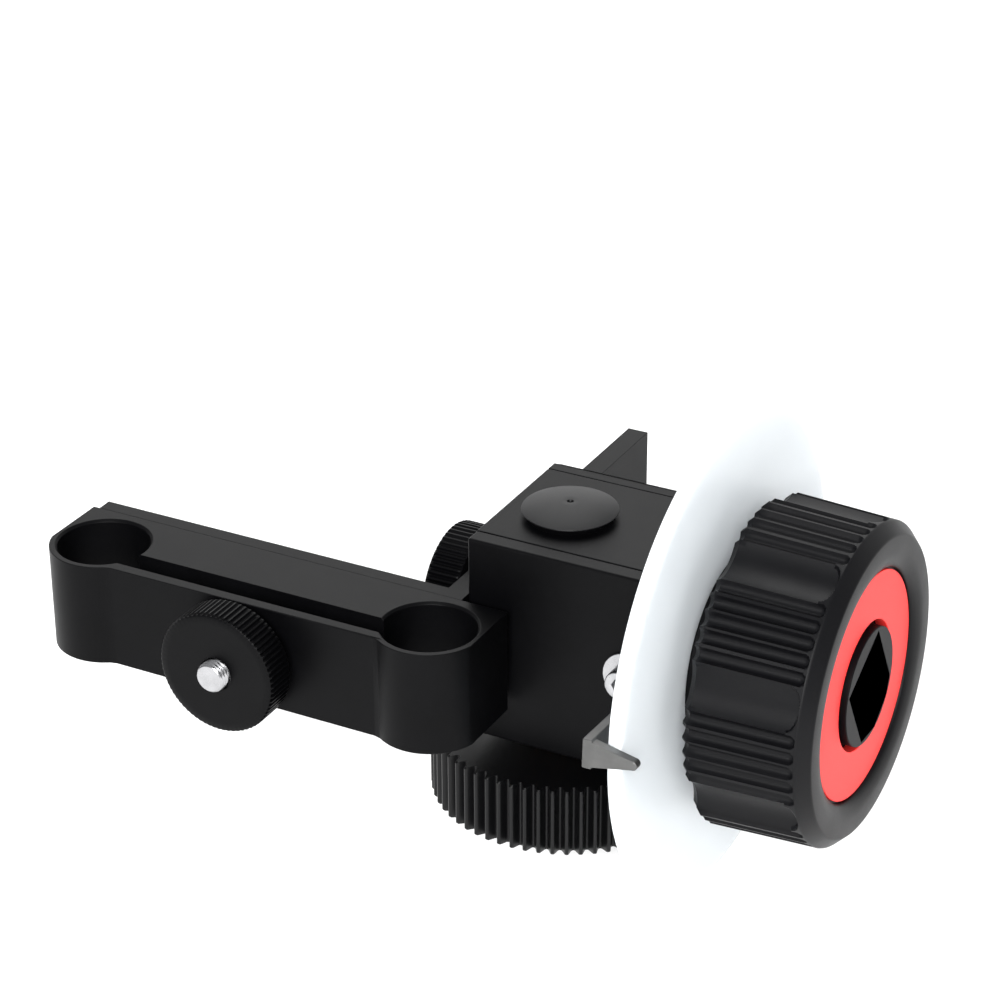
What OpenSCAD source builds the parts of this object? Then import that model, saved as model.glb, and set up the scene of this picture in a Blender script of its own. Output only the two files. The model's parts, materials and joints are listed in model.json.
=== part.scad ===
// Follow focus unit for a pair of camera support rods.
// Millimetres. Z runs along the rods, X across them, and Y points up to the lens.
// The origin is the centre of the near rod bore, halfway down the clamp.

/* [Rod clamp] */
// Diameter of the support rods
rod_d = 15; // [12:0.5:19]
// Distance between the two rod centres
rod_spacing = 60; // [52:1:80]
// Height of the clamp along the rods
clamp_h = 17.5; // [14:0.5:24]
// Wall around the front of each rod bore
boss_wall = 1.3; // [1:0.1:3]
// Wall between a bore and the flat end of the clamp
end_wall = 1; // [0.8:0.1:1.2]
// Wall behind the bores
back_wall = 2; // [1.5:0.5:5]
// How far the front wall stands back from the front of the bores
front_inset = 0.5; // [0.2:0.1:1]
// Thickness of the springy front wall
front_wall = 1.9; // [1.4:0.1:2.6]
// Width of the slit that lets the front wall close on the rods
slit_w = 4; // [2:0.5:5]
// Chamfer at both mouths of each rod bore
bore_chamfer = 0.4; // [0.2:0.1:0.6]
// Radius of the hollow where a boss meets the front wall
boss_fillet = 4; // [1:0.5:5]

/* [Clamp nut] */
// Diameter of the threaded studs
stud_d = 5; // [4:0.5:6]
// Diameter of the knurled clamp nut
nut_d = 20.5; // [16:0.5:24]
// Thickness of its knurled disc
nut_t = 5.8; // [4:0.2:9]
// Diameter of the hub behind the disc
nut_hub_d = 11; // [9:0.5:14]
// Length of the hub behind the disc
nut_hub_l = 1; // [0.8:0.2:5]
// Thickness of the nut's washer
nut_washer_t = 0.6; // [0.4:0.1:1.5]
// How far the stud stands out of the nut
stud_out = 1.8; // [1:0.2:6]
// How deep the stud screws into the clamp behind the slit
stud_depth = 7; // [5:0.5:8]
// How far the stud and the nut lie below the middle of the clamp
stud_drop = 0.3; // [0:0.1:2]

/* [Bracket] */
// Thickness of the foot along the back of the clamp
foot_t = 2.7; // [2:0.1:4]
// How far the foot ends short of the clamp's far end
foot_inset = 1.1; // [0.5:0.1:4]
// Thickness of the arm that the gear head slides on
arm_t = 3.7; // [3:0.1:6]
// Distance from the rod centres to the end of the arm
arm_reach = 76.8; // [72:0.2:100]
// Height of the slot in the arm
arm_slot_h = 6; // [5.6:0.2:8]
// Diameter of the screws that hold the foot
foot_screw_d = 3; // [2.5:0.5:4]
// Length of those screws
foot_screw_l = 9; // [7:0.5:9.5]
// Distance between those screws
foot_screw_pitch = 30; // [24:1:36]

/* [Gear head] */
// Distance from the near rod's centre to the head's side
head_side = 0.5; // [0.3:0.1:1]
// Width of the gear head across the rods
head_w = 32; // [30:0.5:40]
// Depth of the gear head along the arm, with both covers
head_d = 29.45; // [27:0.05:36]
// Height of the gear head along the rods
head_h = 34.6; // [32:0.2:44]
// How far the head stands above the clamp
head_rise = 10; // [8:0.5:12]
// Room between the clamp and the head as it is set
head_gap = 1.9; // [1.7:0.1:12]
// How far the head slides out from there
head_travel = 30; // [10:1:36]
// How far the head slides in from there
head_return = 1.5; // [0:0.1:1.6]
// Thickness of the wall against the arm
arm_side_wall = 3; // [2.6:0.1:3.2]
// Thickness of the wall that carries the wheel shaft
wheel_side_wall = 6.5; // [6:0.5:9]
// Thickness of the top wall
top_wall = 4; // [3:0.5:6]
// Thickness of the floor
floor_wall = 4; // [3:0.5:5]
// Thickness of the front cover
front_cover_t = 3.1; // [2.5:0.1:4]
// Thickness of the rear cover
rear_cover_t = 2.15; // [2.1:0.05:3]
// Diameter of the dome cap over the drive shaft
cap_d = 15.4; // [14:0.2:18]
// Height of the dome cap
cap_h = 2.6; // [1.8:0.1:4]
// Length of the guide key in the arm's slot
key_l = 18; // [17:0.5:20]
// Distance between the screws through the guide key
key_screw_pitch = 12.4; // [12:0.2:13]
// Diameter of the hollow in the middle of the dome cap
cap_dimple_d = 1.2; // [0.8:0.1:2]

/* [Shafts] */
// How far the wheel's axis lies below the top of the clamp
wheel_drop = 7.1; // [6.6:0.1:8]
// Distance from the arm to the axis of the drive gear
drive_in = 10.7; // [10.7:0.1:11.5]
// How far the shafts lie in front of the head's middle
axis_forward = 0.5; // [0:0.1:1]
// Diameter of both shafts in their bushes
shaft_d = 8; // [7:0.5:9]
// Diameter of both shafts where they carry the bevel gears
pin_d = 4; // [3:0.2:4.2]
// Clearance on the radius of everything that turns
run_gap = 0.04; // [0.02:0.01:0.08]
// Clearance between faces that slide past each other
slide_gap = 0.1; // [0.05:0.01:0.12]
// Wall of the bushes
bush_wall = 2.5; // [2:0.1:2.8]
// Number of teeth on each bevel gear
bevel_teeth = 16; // [12:2:20]
// Pitch radius of each bevel gear at its large end
bevel_r = 5.6; // [5:0.1:5.8]
// Width of the bevel teeth along the shaft
bevel_face = 2.3; // [1.8:0.1:2.4]

/* [Drive gear] */
// Number of teeth on the drive gear
gear_teeth = 62; // [40:1:70]
// Module of the drive gear: its pitch diameter over its teeth
gear_module = 0.7; // [0.6:0.05:0.8]
// Width of the drive gear
gear_w = 11.7; // [8:0.1:14]
// Room between the gear head and the drive gear
gear_drop = 2.4; // [2:0.1:4]

/* [Pointer] */
// Thickness of the pointer's plate
pointer_t = 1.5; // [1:0.1:1.8]
// Height of the pointer's arm
pointer_h = 4.8; // [3:0.2:7]
// Gap between the rim of the disc and the pointer's finger
pointer_gap = 0.5; // [0.4:0.1:3]
// Length of the finger over the rim of the disc
finger_l = 8.8; // [5:0.2:12]
// Height of the finger's blunt tip
finger_tip = 1.5; // [0.8:0.1:2.5]
// Angle of the pointer above the level as it is set
pointer_rise = 3.4; // [-10:0.2:10]

/* [Marking disc] */
// Diameter of the white marking disc
disc_d = 77.4; // [70:0.2:90]
// Thickness of the marking disc
disc_t = 2.2; // [1.5:0.1:3]
// Room between the gear head and the disc
disc_gap = 4.1; // [3.9:0.1:6]
// Room between the disc and the hand wheel
wheel_gap = 3.8; // [2:0.2:6]

/* [Hand wheel] */
// Diameter of the hand wheel at its back
wheel_d = 52.8; // [50:0.2:60]
// How much smaller the diameter is at its front
wheel_taper = 1.4; // [0:0.1:3]
// Width of the hand wheel
wheel_w = 20; // [19:0.2:26]
// Chamfer around the wheel's front edge
shoulder = 1.9; // [1:0.1:3]
// Thickness of the grip around the core
grip_t = 4; // [3.6:0.1:5]
// Number of flutes around the grip
flute_count = 8; // [5:1:10]
// Half of the width of a flute
flute_half = 4.1; // [3:0.1:4.5]
// Depth of a flute
flute_depth = 1.6; // [1:0.1:1.9]
// Plain band in front of the flutes
flute_stop = 2.1; // [2:0.1:6]
// Angle of the first flute above the level
flute_turn = 27; // [0:0.5:45]
// Depth of the red ring below the front of the wheel
ring_depth = 1.2; // [0.8:0.1:4]
// Outer diameter of the red ring
ring_d = 36.4; // [34:0.2:40]
// Thickness of the red ring
ring_t = 2; // [1:0.1:3]
// Width of the recess's slanting side
recess_slope = 2.6; // [0:0.1:3]

/* [Crank socket] */
// Diameter of the socket's boss
socket_d = 19; // [18.6:0.2:20]
// Side of the square hole for the crank
socket_side = 12.3; // [10:0.1:12.4]
// Depth of the square hole
socket_depth = 11.6; // [8:0.2:12]
// Thickness of the socket's floor
socket_floor = 2; // [1.5:0.1:3]
// How far the boss stands below the front of the wheel
socket_below = 0.4; // [0:0.1:2]
// Angle of the square hole about the wheel's axis
socket_turn = 29.4; // [0:0.2:90]
// Gap between the boss and the red ring
socket_gap = 0.9; // [0.5:0.1:1.2]

/* [Lock knob] */
// Diameter of the lock knob
knob_d = 20.5; // [15:0.1:21]
// Length of the lock knob
knob_l = 6; // [5:0.2:10]
// Thickness of its washer
knob_washer_t = 0.8; // [0.5:0.1:1.5]

/* [Hidden] */
$fn = 96;
// Smallest overlap of a cutting tool past the face that it opens
cut = 1;

// Rod clamp
rod_r = rod_d / 2;
boss_r = rod_r + boss_wall;
clamp_top = clamp_h / 2;
end_reach = rod_r + end_wall;
block_back = rod_r + back_wall;
wall_reach = rod_r - front_inset;
slit_front = wall_reach - front_wall;
stud_r = stud_d / 2;
stud_x = -rod_spacing / 2;
slit_back = slit_front - slit_w;
nut_back = -wall_reach - nut_washer_t;
nut_front = nut_back - nut_hub_l - nut_t;

// Bracket
foot_back = block_back + foot_t;
arm_right = head_side - slide_gap;
arm_left = arm_right - arm_t;
foot_left = -rod_spacing - end_reach + foot_inset;
foot_screw_r = foot_screw_d / 2;
foot_screw_x = [stud_x - foot_screw_pitch / 2, stud_x + foot_screw_pitch / 2];

// Gear head
head_left = head_side;
head_right = head_left + head_w;
head_front = block_back + head_gap;
head_back = head_front + head_d;
head_top = clamp_top + head_rise;
head_floor = head_top - head_h;
case_front = head_front + front_cover_t;
case_back = head_back - rear_cover_t;
cavity_left = head_left + arm_side_wall;
cavity_right = head_right - wheel_side_wall;
cavity_top = head_top - top_wall;
cavity_floor = head_floor + floor_wall;
lip = 1.5;
rim_chamfer = 0.6;
hollow_bite = 0.08;
hollow_flats = 3;

// Shaft axes
axis_y = (head_front + head_back) / 2 - axis_forward;
axis_z = clamp_top - wheel_drop;
drive_x = arm_right + drive_in;
shaft_r = shaft_d / 2;
pin_r = pin_d / 2;
clip_t = 0.9;
clip_groove = 0.4;
clip_ring = 2;

// Bevel gears
bevel_big = bevel_r;
bevel_small = bevel_big - bevel_face;
bevel_hub_l = 3;
bevel_hub_wall = 2.5;
bevel_hub_r = pin_r + bevel_hub_wall;
bevel_tip = bevel_r * tan(50);
bevel_root = bevel_r * tan(38.7);

// Drive gear
gear_pitch_r = gear_teeth * gear_module / 2;
gear_tip_r = gear_pitch_r + gear_module;
gear_root_r = gear_pitch_r - 1.25 * gear_module;
gear_top = head_floor - gear_drop;
gear_bottom = gear_top - gear_w;
gear_recess_r = 8.5;
gear_recess_h = 4;
bush_flange_t = 1;
bush_flange = 2;
washer_t = 1;
washer_room = 1.5;
spacer_wall = 2.5;

// Pointer, disc and wheel, all along X
spring_t = 1;
spring_wall = 3;
eye_wall = 4;
clip_reach = 1.2;
collar_wall = 1.5;
bush_r = shaft_r + bush_wall;
collar_r = bush_r + collar_wall;
pointer_back = head_right + spring_t + slide_gap;
pointer_front = pointer_back + pointer_t;
disc_back = head_right + disc_gap;
disc_front = disc_back + disc_t;
disc_r = disc_d / 2;
collar_end = disc_back - 0.3;
wheel_back = disc_front + wheel_gap;
wheel_front = wheel_back + wheel_w;
wheel_back_r = wheel_d / 2;
wheel_front_r = wheel_back_r - wheel_taper / 2;
grip_in = wheel_back_r - grip_t;
ring_front = wheel_front - ring_depth;
ring_back = ring_front - ring_t;
ring_r = ring_d / 2;
socket_r = socket_d / 2;
ring_hole_r = socket_r + socket_gap;
ring_seat = 1.2;
core_boss_r = ring_hole_r + ring_seat;
core_pocket_r = ring_r - ring_seat;
core_wall = 4.4;
hub_step = 6;
socket_front = wheel_front - socket_below;
socket_bottom = socket_front - socket_depth;
socket_back = socket_bottom - socket_floor;
finger_y = disc_r + pointer_gap;

// Lock knob
key_h = arm_slot_h - 2 * slide_gap;
key_left = arm_left + 0.4;
knob_right = arm_left - knob_washer_t - slide_gap;
knob_left = knob_right - knob_l;
knob_floor = 1.5;

// Turn a child that stands on Z so that it lies along +X or +Y
module along_x(x, y, z) {
    translate([x, y, z]) rotate([0, 90, 0]) children();
}

module along_y(x, y, z) {
    translate([x, y, z]) rotate([-90, 0, 0]) children();
}

// On the wheel's axis, from x = from to x = to
module on_wheel_axis(from) {
    along_x(from, axis_y, axis_z) children();
}

module tube(height, outer, inner) {
    difference() {
        cylinder(h = height, r = outer);
        translate([0, 0, -cut]) cylinder(h = height + 2 * cut, r = inner);
    }
}

// A disc with both rims chamfered
module chamfered_disc(height, radius, chamfer) {
    rotate_extrude()
        polygon([
            [0, 0], [radius - chamfer, 0], [radius, chamfer],
            [radius, height - chamfer], [radius - chamfer, height], [0, height]
        ]);
}

// A countersunk screw whose flat head ends at z = 0 and whose shank runs down
module flat_screw(length, radius) {
    head_r = 1.9 * radius;
    rotate_extrude()
        polygon([
            [0, 0], [head_r, 0], [radius, -(head_r - radius)],
            [radius, -length], [0, -length]
        ]);
}

// The hole that such a screw fills
module flat_screw_hole(length, radius) {
    head_r = 1.9 * radius;
    rotate_extrude()
        polygon([
            [0, cut], [head_r, cut], [head_r, 0], [radius, -(head_r - radius)],
            [radius, -length], [0, -length]
        ]);
}

// A cap screw with a hexagon socket; the head stands on z = 0
module cap_screw(length, radius, head_radius, head_height) {
    difference() {
        union() {
            translate([0, 0, -length]) cylinder(h = length + head_height / 2, r = radius);
            cylinder(h = head_height, r = head_radius);
        }
        translate([0, 0, head_height / 2])
            cylinder(h = head_height, r = head_radius * 0.52, $fn = 6);
    }
}

// Plan of the clamp between the two bores, with its flat ends
module clamp_plan() {
    for (x = [0, -rod_spacing])
        translate([x, 0]) intersection() {
            circle(r = boss_r);
            square([2 * end_reach, 2 * boss_r], center = true);
        }
    translate([-rod_spacing - end_reach, 0])
        square([rod_spacing + 2 * end_reach, block_back]);
    translate([-rod_spacing, -wall_reach]) square([rod_spacing, wall_reach + cut]);
    for (side = [0, 1])
        translate([side * -rod_spacing, 0]) mirror([1 - side, 0]) boss_hollow();
}

// The small hollow between a boss on the left and the wall that runs to its right, in a few
// flats; its ends reach into the boss and the wall
module boss_hollow() {
    hollow_y = -wall_reach - boss_fillet;
    hollow_x = sqrt(pow(boss_r + boss_fillet, 2) - pow(hollow_y, 2));
    turn = atan(hollow_x / -hollow_y);
    polygon([
        [0, 0],
        (boss_r - hollow_bite) * [sin(turn), -cos(turn)],
        for (flat = [1 : hollow_flats - 1])
            let (angle = 90 + turn * (1 - flat / hollow_flats))
                [hollow_x, hollow_y] + boss_fillet * [cos(angle), sin(angle)],
        [hollow_x, hollow_bite - wall_reach],
        [hollow_x, 0]
    ]);
}

module rod_bore() {
    cylinder(h = clamp_h + 2 * cut, r = rod_r, center = true);
    for (end = [0, 1])
        mirror([0, 0, end]) translate([0, 0, clamp_top])
            rotate_extrude()
                polygon([
                    [0, cut], [rod_r + bore_chamfer, cut], [rod_r + bore_chamfer, 0],
                    [rod_r, -bore_chamfer], [0, -bore_chamfer]
                ]);
}

module rod_clamp() {
    color([0.13, 0.13, 0.14]) difference() {
        linear_extrude(height = clamp_h, center = true) clamp_plan();
        for (x = [0, -rod_spacing]) translate([x, 0, 0]) rod_bore();
        translate([-rod_spacing, -slit_front, -clamp_top - cut])
            cube([rod_spacing, slit_w, clamp_h + 2 * cut]);
        along_y(stud_x, -boss_r - cut, -stud_drop) cylinder(h = boss_r, r = stud_r + slide_gap);
        along_y(stud_x, -slit_back - cut, -stud_drop) cylinder(h = stud_depth + cut, r = stud_r);
        for (x = foot_screw_x)
            along_y(x, foot_back - foot_screw_l, 0)
                cylinder(h = foot_screw_l, r = foot_screw_r);
    }
}

module slide_bracket() {
    slot_front = axis_y - key_l / 2 - head_return - 2 * slide_gap;
    slot_l = key_l + head_return + head_travel + 4 * slide_gap;
    color([0.13, 0.13, 0.14]) difference() {
        linear_extrude(height = clamp_h, center = true)
            polygon([
                [foot_left, block_back], [arm_right, block_back], [arm_right, arm_reach],
                [arm_left, arm_reach], [arm_left, foot_back], [foot_left, foot_back]
            ]);
        translate([arm_left - cut, slot_front, axis_z - arm_slot_h / 2])
            cube([arm_t + 2 * cut, slot_l, arm_slot_h]);
        for (x = foot_screw_x)
            along_y(x, foot_back, 0) flat_screw_hole(foot_screw_l, foot_screw_r);
    }
}

module bracket_screws() {
    color("dimgray") for (x = foot_screw_x)
        along_y(x, foot_back, 0) flat_screw(foot_screw_l, foot_screw_r);
}

module clamp_stud() {
    color("silver") along_y(stud_x, nut_front - stud_out, -stud_drop)
        chamfered_disc(stud_out - nut_front - slit_back + stud_depth, stud_r, rim_chamfer);
}

module clamp_nut() {
    color([0.1, 0.1, 0.11]) along_y(stud_x, nut_front, -stud_drop) difference() {
        union() {
            chamfered_disc(nut_t, nut_d / 2, rim_chamfer);
            cylinder(h = nut_t + nut_hub_l, r = nut_hub_d / 2);
        }
        translate([0, 0, -cut])
            cylinder(h = nut_t + nut_hub_l + 2 * cut, r = stud_r + run_gap);
    }
}

module clamp_washer() {
    color("silver") along_y(stud_x, nut_back, -stud_drop)
        tube(nut_washer_t, nut_hub_d / 2, stud_r + run_gap);
}

// Where the small screws of the rear cover sit in the walls of the case
rear_screw_r = 1;
rear_screw_l = 7;
rear_screw_x = [head_left + arm_side_wall / 2, head_right - wheel_side_wall / 2];
rear_screw_z = [head_top - top_wall / 2, head_floor + floor_wall / 2];

// The visible cap screw that holds the front cover
cap_screw_r = 1.5;
cap_screw_head_r = 2.4;
cap_screw_head_h = 3;
cap_screw_in = 4.2;
cap_screw_x = head_right - cap_screw_in;
cap_washer_r = 4.1;
cap_washer_t = 0.5;
screw_tip_gap = 0.6;
cap_screw_l = axis_y - bush_r - screw_tip_gap - head_front + cap_washer_t;

// Screws through the guide key into the wall against the arm
key_screw_r = 1;
key_screw_y = [axis_y - key_screw_pitch / 2, axis_y + key_screw_pitch / 2];
key_screw_l = 5.8;

module gear_case() {
    color([0.12, 0.12, 0.13]) difference() {
        translate([head_left, case_front, head_floor])
            cube([head_w, case_back - case_front, head_h]);
        translate([cavity_left, case_front - cut, cavity_floor])
            cube([
                cavity_right - cavity_left, case_back - case_front + 2 * cut,
                cavity_top - cavity_floor
            ]);
        on_wheel_axis(cavity_right - cut) cylinder(h = wheel_side_wall + 2 * cut, r = bush_r);
        translate([drive_x, axis_y, cavity_top - cut])
            cylinder(h = top_wall + 2 * cut, r = pin_r + bush_wall);
        translate([drive_x, axis_y, head_floor - cut])
            cylinder(h = floor_wall + 2 * cut, r = bush_r);
        on_wheel_axis(head_left - cut)
            cylinder(h = arm_side_wall + 2 * cut, r = stud_r + run_gap);
        for (y = key_screw_y)
            along_x(head_left - cut, y, axis_z)
                cylinder(h = cut + key_screw_l - (head_left - key_left), r = key_screw_r);
        for (x = rear_screw_x, z = rear_screw_z)
            along_y(x, head_back - rear_screw_l, z) cylinder(h = rear_screw_l, r = rear_screw_r);
        along_y(cap_screw_x, head_front - cut, axis_z)
            cylinder(h = cut + cap_screw_l - cap_washer_t, r = cap_screw_r);
    }
}

module front_cover() {
    color([0.12, 0.12, 0.13]) difference() {
        union() {
            translate([head_left, head_front, head_floor])
                cube([head_w, front_cover_t, head_h]);
            translate([cavity_left, head_front, cavity_floor])
                cube([cavity_right - cavity_left, front_cover_t + lip, cavity_top - cavity_floor]);
        }
        translate([cavity_left + lip, case_front, cavity_floor + lip])
            cube([
                cavity_right - cavity_left - 2 * lip, lip + cut,
                cavity_top - cavity_floor - 2 * lip
            ]);
        along_y(cap_screw_x, head_front - cut, axis_z)
            cylinder(h = front_cover_t + 2 * cut, r = cap_screw_r);
    }
}

module rear_cover() {
    color([0.12, 0.12, 0.13]) difference() {
        translate([head_left, case_back, head_floor]) cube([head_w, rear_cover_t, head_h]);
        for (x = rear_screw_x, z = rear_screw_z)
            along_y(x, head_back, z) flat_screw_hole(rear_screw_l, rear_screw_r);
    }
}

module rear_cover_screws() {
    color("dimgray") for (x = rear_screw_x, z = rear_screw_z)
        along_y(x, head_back, z) flat_screw(rear_screw_l, rear_screw_r);
}

module cover_screw() {
    color("silver") translate([cap_screw_x, head_front - cap_washer_t, axis_z])
        rotate([90, 0, 0])
            cap_screw(cap_screw_l, cap_screw_r, cap_screw_head_r, cap_screw_head_h);
}

module cover_washer() {
    color("silver") along_y(cap_screw_x, head_front - cap_washer_t, axis_z)
        tube(cap_washer_t, cap_washer_r, cap_screw_r);
}

// A low dome on a straight rim, with a small hollow at its middle
module dome_cap() {
    rim_h = cap_h * 0.45;
    dome_h = cap_h - rim_h;
    rim_r = cap_d / 2;
    dome_r = (pow(rim_r, 2) + pow(dome_h, 2)) / (2 * dome_h);
    color([0.1, 0.1, 0.11]) translate([drive_x, axis_y, head_top]) difference() {
        intersection() {
            cylinder(h = cap_h, r = rim_r);
            translate([0, 0, cap_h - dome_r]) sphere(r = dome_r);
        }
        translate([0, 0, cap_h - 0.4]) cylinder(h = cut, r = cap_dimple_d / 2);
    }
}

module upper_bush() {
    color("goldenrod") translate([drive_x, axis_y, cavity_top])
        tube(top_wall, pin_r + bush_wall, pin_r + run_gap);
}

module lower_bush() {
    color("goldenrod") translate([drive_x, axis_y, head_floor - bush_flange_t]) difference() {
        union() {
            cylinder(h = bush_flange_t + floor_wall, r = bush_r);
            cylinder(h = bush_flange_t, r = bush_r + bush_flange);
        }
        translate([0, 0, -cut])
            cylinder(h = bush_flange_t + floor_wall + 2 * cut, r = shaft_r + run_gap);
    }
}

// Carries the wheel shaft inside and the pointer outside
module shaft_bush() {
    color("goldenrod") difference() {
        union() {
            on_wheel_axis(cavity_right) cylinder(h = wheel_side_wall, r = bush_r);
            on_wheel_axis(head_right) cylinder(h = collar_end - head_right, r = collar_r);
        }
        on_wheel_axis(cavity_right - cut)
            cylinder(h = collar_end - cavity_right + 2 * cut, r = shaft_r + run_gap);
        on_wheel_axis(pointer_front + slide_gap / 2)
            tube(clip_t, collar_r + cut, collar_r - clip_groove);
    }
}

module guide_key() {
    color("silver") difference() {
        translate([key_left, axis_y - key_l / 2, axis_z - key_h / 2])
            cube([head_left - key_left, key_l, key_h]);
        on_wheel_axis(key_left - cut)
            cylinder(h = head_left - key_left + 2 * cut, r = stud_r + run_gap);
        for (y = key_screw_y)
            translate([key_left, y, axis_z]) rotate([0, -90, 0])
                flat_screw_hole(key_screw_l, key_screw_r);
    }
}

module key_screws() {
    color("dimgray") for (y = key_screw_y)
        translate([key_left, y, axis_z]) rotate([0, -90, 0])
            flat_screw(key_screw_l, key_screw_r);
}

module lock_knob() {
    color([0.1, 0.1, 0.11]) on_wheel_axis(knob_left) difference() {
        chamfered_disc(knob_l, knob_d / 2, rim_chamfer);
        translate([0, 0, knob_floor]) cylinder(h = knob_l, r = stud_r);
    }
}

module lock_stud() {
    color("silver") on_wheel_axis(knob_left + knob_floor)
        chamfered_disc(cavity_left - knob_left - knob_floor, stud_r, rim_chamfer);
}

module lock_washer() {
    color("silver") on_wheel_axis(knob_right) tube(knob_washer_t, knob_d * 0.38, stud_r);
}

// A thin friction washer that holds the pointer where it is set
module pointer_spring() {
    color("silver") on_wheel_axis(head_right)
        tube(spring_t, collar_r + spring_wall, collar_r + run_gap);
}

module pointer() {
    finger_z = pointer_h / 2;
    turned = [0, axis_y, axis_z];
    color("lightgray") translate(turned) rotate([-pointer_rise, 0, 0]) {
        difference() {
            union() {
                along_x(pointer_back, 0, 0) cylinder(h = pointer_t, r = collar_r + eye_wall);
                translate([pointer_back, -finger_y - pointer_t, -finger_z])
                    cube([pointer_t, finger_y + pointer_t, pointer_h]);
                translate([0, -finger_y, 0]) rotate([90, 0, 0])
                    linear_extrude(height = pointer_t) finger_plan();
            }
            along_x(pointer_back - cut, 0, 0)
                cylinder(h = pointer_t + 2 * cut, r = collar_r + run_gap);
        }
    }
}

// Side view of the finger, in X and Z: it narrows to a round tip
module finger_plan() {
    tip_x = pointer_back + finger_l - finger_tip / 2;
    polygon([
        [pointer_back, -pointer_h / 2], [tip_x, -finger_tip / 2],
        [tip_x, finger_tip / 2], [pointer_back, pointer_h / 2]
    ]);
    translate([tip_x, 0]) circle(r = finger_tip / 2);
}

module pointer_clip() {
    color("silver") on_wheel_axis(pointer_front + slide_gap / 2)
        tube(clip_t, collar_r + clip_reach, collar_r - clip_groove);
}

module wheel_shaft() {
    pinion_back = drive_x + bevel_big + bevel_hub_l;
    shaft_end = socket_back - 0.4;
    color("silver") difference() {
        union() {
            on_wheel_axis(drive_x + bevel_small)
                cylinder(h = bevel_face + bevel_hub_l + cut, r = pin_r);
            on_wheel_axis(pinion_back) cylinder(h = shaft_end - pinion_back, r = shaft_r);
        }
        on_wheel_axis(cavity_right - clip_t - slide_gap)
            tube(clip_t, shaft_r + cut, shaft_r - clip_groove);
        on_wheel_axis(shaft_end - wheel_screw_l) cylinder(h = wheel_screw_l + cut, r = wheel_screw_r);
    }
}

wheel_screw_r = 2;
wheel_screw_l = 8;
wheel_screw_head_r = 3.8;
wheel_screw_head_h = 2.2;

// Outline of a bevel gear at its large end, thin enough to leave backlash
module bevel_plan() {
    step = 360 / bevel_teeth;
    polygon([
        for (tooth = [0 : bevel_teeth - 1])
            for (corner = [[-0.33, 0], [-0.1, 1], [0.1, 1], [0.33, 0]])
                let (angle = (tooth + corner[0]) * step)
                let (radius = corner[1] == 1 ? bevel_tip : bevel_root)
                    radius * [cos(angle), sin(angle)]
    ]);
}

// A bevel gear whose large end lies on z = 0 and whose teeth narrow upwards
module bevel_body() {
    difference() {
        union() {
            linear_extrude(height = bevel_face, scale = bevel_small / bevel_big) bevel_plan();
            translate([0, 0, -bevel_hub_l]) cylinder(h = bevel_hub_l, r = bevel_hub_r);
        }
        translate([0, 0, -bevel_hub_l - cut])
            cylinder(h = bevel_face + bevel_hub_l + 2 * cut, r = pin_r);
    }
}

module bevel_pinion() {
    color("goldenrod") translate([drive_x + bevel_big, axis_y, axis_z]) rotate([0, -90, 0])
        bevel_body();
}

module bevel_gear() {
    color("goldenrod") translate([drive_x, axis_y, axis_z - bevel_big])
        rotate([0, 0, 180 / bevel_teeth]) bevel_body();
}

module shaft_clip() {
    color("silver") on_wheel_axis(cavity_right - clip_t - slide_gap)
        tube(clip_t, shaft_r + clip_ring, shaft_r - clip_groove);
}

module marking_disc() {
    color("white") on_wheel_axis(disc_back) difference() {
        chamfered_disc(disc_t, disc_r, rim_chamfer);
        translate([0, 0, -cut]) cylinder(h = disc_t + 2 * cut, r = shaft_r);
    }
}

module disc_hub() {
    color([0.12, 0.12, 0.13]) on_wheel_axis(disc_front)
        tube(wheel_gap, grip_in - hub_step, shaft_r);
}

module wheel_core() {
    core_l = ring_back - wheel_back;
    color([0.12, 0.12, 0.13]) on_wheel_axis(wheel_back) difference() {
        cylinder(h = core_l, r = grip_in);
        translate([0, 0, core_wall]) tube(core_l, core_pocket_r, core_boss_r);
        translate([0, 0, socket_back - wheel_back]) cylinder(h = core_l, r = socket_r);
        translate([0, 0, -cut]) cylinder(h = core_l, r = shaft_r);
    }
}

// Half section of the grip, as radius and distance from the back of the wheel
module grip_section() {
    back_r = wheel_back_r;
    front_r = wheel_front_r;
    lip_back = ring_back - wheel_back;
    lip_front = ring_front - wheel_back;
    polygon([
        [grip_in, 0], [back_r - 1, 0], [back_r, 1], [front_r, wheel_w - shoulder],
        [front_r - shoulder, wheel_w], [ring_r + recess_slope, wheel_w], [ring_r, lip_front],
        [ring_r, lip_back], [grip_in, lip_back]
    ]);
}

module wheel_grip() {
    body_sagitta = wheel_back_r - sqrt(pow(wheel_back_r, 2) - pow(flute_half, 2));
    flute_sagitta = flute_depth - body_sagitta;
    flute_r = (pow(flute_half, 2) + pow(flute_sagitta, 2)) / (2 * flute_sagitta);
    flute_at = wheel_back_r - flute_depth + flute_r;
    color([0.16, 0.16, 0.17]) on_wheel_axis(wheel_back) difference() {
        rotate_extrude() grip_section();
        for (flute = [0 : flute_count - 1])
            rotate([0, 0, 90 + flute_turn + flute * 360 / flute_count])
                translate([flute_at, 0, -cut])
                    cylinder(h = wheel_w - flute_stop + cut, r = flute_r);
    }
}

module face_ring() {
    color([0.9, 0.2, 0.2]) on_wheel_axis(ring_back) tube(ring_t, ring_r, ring_hole_r);
}

module crank_socket() {
    color([0.12, 0.12, 0.13]) on_wheel_axis(socket_back) difference() {
        cylinder(h = socket_depth + socket_floor, r = socket_r);
        translate([0, 0, socket_floor]) rotate([0, 0, socket_turn])
            translate([-socket_side / 2, -socket_side / 2, 0])
                cube([socket_side, socket_side, socket_depth + cut]);
        translate([0, 0, -cut]) cylinder(h = socket_floor + 2 * cut, r = wheel_screw_r);
    }
}

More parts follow.
